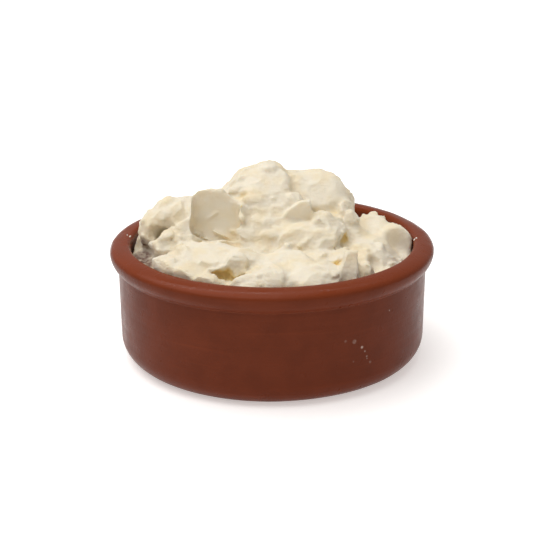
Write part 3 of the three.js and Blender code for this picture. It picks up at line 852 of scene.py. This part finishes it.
def mark_surface(heap):
    """Marks the painted shade on the heap, where it is torn, and the painted shade against the left
    wall.

    The painted shade is strongest where little sky is seen and at the listed warm spots, and a
    smooth face gets half as much.
    """
    points = [vertex.co / MM for vertex in heap.data.vertices]
    # Painted shade: more where the sky is blocked, plus the warm shaded spots.
    hollow = [
        share * (1 - 0.5 * smoothness(point))
        + 0.5 * sum(strength * nearness(point, centre, reach)
                    for centre, reach, strength in PAINTED_SHADE_SPOTS.values())
        for share, point in zip(blocked_sky(heap), points)]
    keep(heap.data, "hollow", hollow)
    keep(heap.data, "torn", [1 - 0.9 * smoothness(point) for point in points])
    keep(heap.data, "wall_shade", [
        max(nearness(point, centre, reach) for centre, reach in LEFT_WALL_SHADE.values())
        for point in points])


class BOWL_OT_cheese(bpy.types.Operator):
    """Models the heap of torn and spooned fresh cheese"""

    bl_idname = "bowl.cheese"
    bl_label = "Fromage Blanc"

    def execute(self, context):
        values = settings()
        heap = self.soft_lumps()
        cut(heap, lumps(CUTS, "cuts", 6))
        folds = lumps(FOLDS, "folds", chipped=FOLD_CHIPS)
        heap = join([heap, folds, lumps(LIPS, "lips")] + self.bits(heap), "fromage_curd")
        modify(heap, "REMESH", mode="VOXEL", voxel_size=values.voxel)
        modify(heap, "SMOOTH", factor=0.5, iterations=1)
        self.tear(heap, values.crag_depth)
        self.close_below(heap)
        self.fit_dish(heap)
        mark_surface(heap)
        take(heap)
        bpy.ops.object.shade_smooth()
        dress(heap, fresh_curd(), "fromage_blanc")
        return {"FINISHED"}

    def bits(self, heap):
        """Small curds and torn flakes to be joined to the heap."""
        found = scatter(heap, 1, place_one=lay_flake, **FLAKES)
        for seed, (centre, reach, count) in enumerate(CRUMBLY.values()):
            found += scatter(heap, 2, count, seed, (centre, reach), lay_curd)
        return found

    def soft_lumps(self):
        """The big lumps run together and softened, with the hollows between them."""
        bed = lump(**LUMPS["bed"])
        cut(bed, dish_mouth(), "INTERSECT")
        rest = {name: shape for name, shape in LUMPS.items() if name != "bed"}
        heap = join([bed, lumps(rest, "lumps", chipped=LUMP_CHIPS)], "fromage_curd")
        modify(heap, "REMESH", mode="VOXEL", voxel_size=LUMP_VOXEL)
        cut(heap, dish_mouth(), "INTERSECT")
        cut(heap, lumps(GAPS, "gaps"))
        modify(heap, "REMESH", mode="VOXEL", voxel_size=LUMP_VOXEL)
        modify(heap, "SMOOTH", factor=0.5, iterations=2)
        return heap

    def tear(self, heap, depth):
        """Breaks the surface into crags and streaks, except where it is smooth."""
        rough = heap.vertex_groups.new(name="rough")
        for vertex in heap.data.vertices:
            weight = 1 - smoothness(vertex.co / MM)
            rough.add([vertex.index], weight * min(1, max(0, (vertex.co.z - HEAP_CUT) / (2 * MM))),
                      "REPLACE")
        relief(heap, "crags", "MUSGRAVE", 7 * MM, depth, turn=(30, 20, 0), level=1,
               musgrave_type="RIDGED_MULTIFRACTAL", octaves=3)
        relief(heap, "streaks", "CLOUDS", 1.7 * MM, 0.4 * depth, stretch=(3, 1.5, 1),
               turn=(0, 8, 0), noise_depth=2, noise_type="HARD_NOISE")
        relief(heap, "grain", "CLOUDS", 1.1 * MM, 0.28 * depth, noise_depth=1)

    def close_below(self, heap):
        """Cuts the open cheese off level and carries it down to the dish's floor."""
        inner, floor, corner = HEAP_HIGH[0], HEAP_LOW[2], HEAP_CORNER
        down = [(inner, HEAP_CUT), (inner, floor + corner)]
        down += arc((inner - corner, floor + corner), (corner, corner), 0, -90, 4)[1:]
        take(heap)
        bpy.ops.object.mode_set(mode="EDIT")
        bpy.ops.mesh.select_all(action="SELECT")
        bpy.ops.mesh.bisect(plane_co=(0, 0, HEAP_CUT), plane_no=(0, 0, 1), clear_inner=True)
        extrude_along(down)
        bpy.ops.mesh.edge_face_add()
        bpy.ops.mesh.select_all(action="SELECT")
        bpy.ops.mesh.normals_make_consistent(inside=False)
        bpy.ops.object.mode_set(mode="OBJECT")

    def fit_dish(self, heap):
        """Keeps the cheese inside the dish and under its highest point."""
        reach = HEAP_HIGH[0]
        for vertex in heap.data.vertices:
            away = vertex.co.xy.length
            if away > reach:
                vertex.co.xy *= reach / away
            vertex.co.z = min(max(vertex.co.z, HEAP_LOW[2]), HEAP_HIGH[2])


class BOWL_OT_crumbs(bpy.types.Operator):
    """Models the loose crumbs of curd on the dish's rim"""

    bl_idname = "bowl.crumbs"
    bl_label = "Crumbs"

    def execute(self, context):
        dish = bpy.data.objects["clay_dish"]
        drop_from, rim_above = 60, 30 * MM
        draw = random.Random(7)
        bits = []
        for (x, y), spread, count in CRUMBS.values():
            for _ in range(count):
                above = Vector((x + draw.gauss(0, spread), y + draw.gauss(0, spread),
                                drop_from)) * MM
                hit, point, *_ = dish.ray_cast(above, Vector((0, 0, -1)))
                if hit and point.z > rim_above:
                    half = [draw.uniform(*CRUMB_HALF) for _ in range(3)]
                    bits.append(lump(point / MM, half, flats=chips(half, (0, 0, 0), 3, draw),
                                     fineness=2))
        crumbs = join(bits, "curd_crumbs")
        bpy.ops.object.shade_smooth()
        dress(crumbs, bpy.data.materials["fresh_curd"], None)
        return {"FINISHED"}


# ---- the stage --------------------------------------------------------------

CAMERA = {
    "target": (0, 0, 25),  # mm
    "elevation": 19.96,  # degrees above the table
    "distance": 536.5,  # mm
    "aim_up": 7.03,  # mm, how far the view is centred above the target
    "aim_left": 2.05,  # mm, and to the left of it
    "roll": -0.46,  # degrees
    "lens": 96.6,  # mm
}
# The softboxes, in metres and watts: place, width and depth, power.
LIGHTS = {
    "overhead": ((-0.28, -0.02, 0.8), (1.1, 0.9), 6.4),
    "strip": ((-0.02, 0.36, 0.8), (1.0, 0.03), 0.8),
}
LIT_POINT = (0, 0, 0.04)  # metres, where they are turned to
SKY_STRENGTH = 0.45


def aim(thing, target):
    thing.rotation_mode = "QUATERNION"
    thing.rotation_quaternion = (Vector(target) - thing.location).to_track_quat("-Z", "Y")


def softbox(name, place, target, size, power):
    """One rectangular studio light, turned to its target."""
    light = bpy.data.lights.new(name, "AREA")
    light.shape = "RECTANGLE"
    light.size, light.size_y = size
    light.energy = power
    lamp = bpy.data.objects.new(name, light)
    bpy.context.collection.objects.link(lamp)
    lamp.location = place
    aim(lamp, target)


class BOWL_OT_stage(bpy.types.Operator):
    """Sets the white table, the soft studio light and the camera"""

    bl_idname = "bowl.stage"
    bl_label = "Studio"

    def execute(self, context):
        self.table()
        self.light()
        self.camera(context)
        return {"FINISHED"}

    def table(self):
        deselect()
        bpy.ops.mesh.primitive_plane_add(size=6, location=(0, 0, 0))
        table = bpy.context.object
        table.name = "table"
        table.data.materials.append(pale_table())

    def light(self):
        world = bpy.data.worlds.new("studio")
        world.use_nodes = True
        sky = world.node_tree.nodes["Background"]
        sky.inputs["Color"].default_value = (1, 0.99, 0.98, 1)
        sky.inputs["Strength"].default_value = SKY_STRENGTH
        bpy.context.scene.world = world
        for name, (place, size, power) in LIGHTS.items():
            softbox(name, place, LIT_POINT, size, power)
        bpy.context.scene.view_settings.view_transform = "Standard"

    def camera(self, context):
        lens = bpy.data.cameras.new("camera")
        lens.lens, lens.sensor_width = CAMERA["lens"], 36
        camera = bpy.data.objects.new("camera", lens)
        context.collection.objects.link(camera)
        rise = math.radians(CAMERA["elevation"])
        target = Vector(CAMERA["target"]) * MM
        back = Vector((0, -math.cos(rise), math.sin(rise)))
        right = Vector((1, 0, 0))
        up = back.cross(right)
        camera.location = target + back * CAMERA["distance"] * MM
        aim(camera, target + (up * CAMERA["aim_up"] - right * CAMERA["aim_left"]) * MM)
        camera.rotation_quaternion @= Quaternion((0, 0, 1), math.radians(CAMERA["roll"]))
        context.scene.camera = camera


# ---- the add-on -------------------------------------------------------------


class BOWL_PT_panel(bpy.types.Panel):
    """Lists the pieces of the bowl of cheese"""

    bl_label = "Bowl of Fromage Blanc"
    bl_idname = "BOWL_PT_panel"
    bl_space_type = "VIEW_3D"
    bl_region_type = "UI"
    bl_category = "Cheese Bowl"

    def draw(self, context):
        for name in BowlSettings.__annotations__:
            self.layout.prop(settings(), name)
        for piece in PIECES:
            self.layout.operator(piece.bl_idname)


PIECES = (BOWL_OT_dish, BOWL_OT_cheese, BOWL_OT_crumbs, BOWL_OT_stage)
CLASSES = (BowlSettings, *PIECES, BOWL_PT_panel)


def register():
    for kind in CLASSES:
        bpy.utils.register_class(kind)
    bpy.types.Scene.cheese_bowl = bpy.props.PointerProperty(type=BowlSettings)


def unregister():
    del bpy.types.Scene.cheese_bowl
    for kind in reversed(CLASSES):
        bpy.utils.unregister_class(kind)


def main():
    register()
    bpy.ops.bowl.dish()
    bpy.ops.bowl.cheese()
    bpy.ops.bowl.crumbs()
    bpy.ops.bowl.stage()


if __name__ == "__main__":
    main()
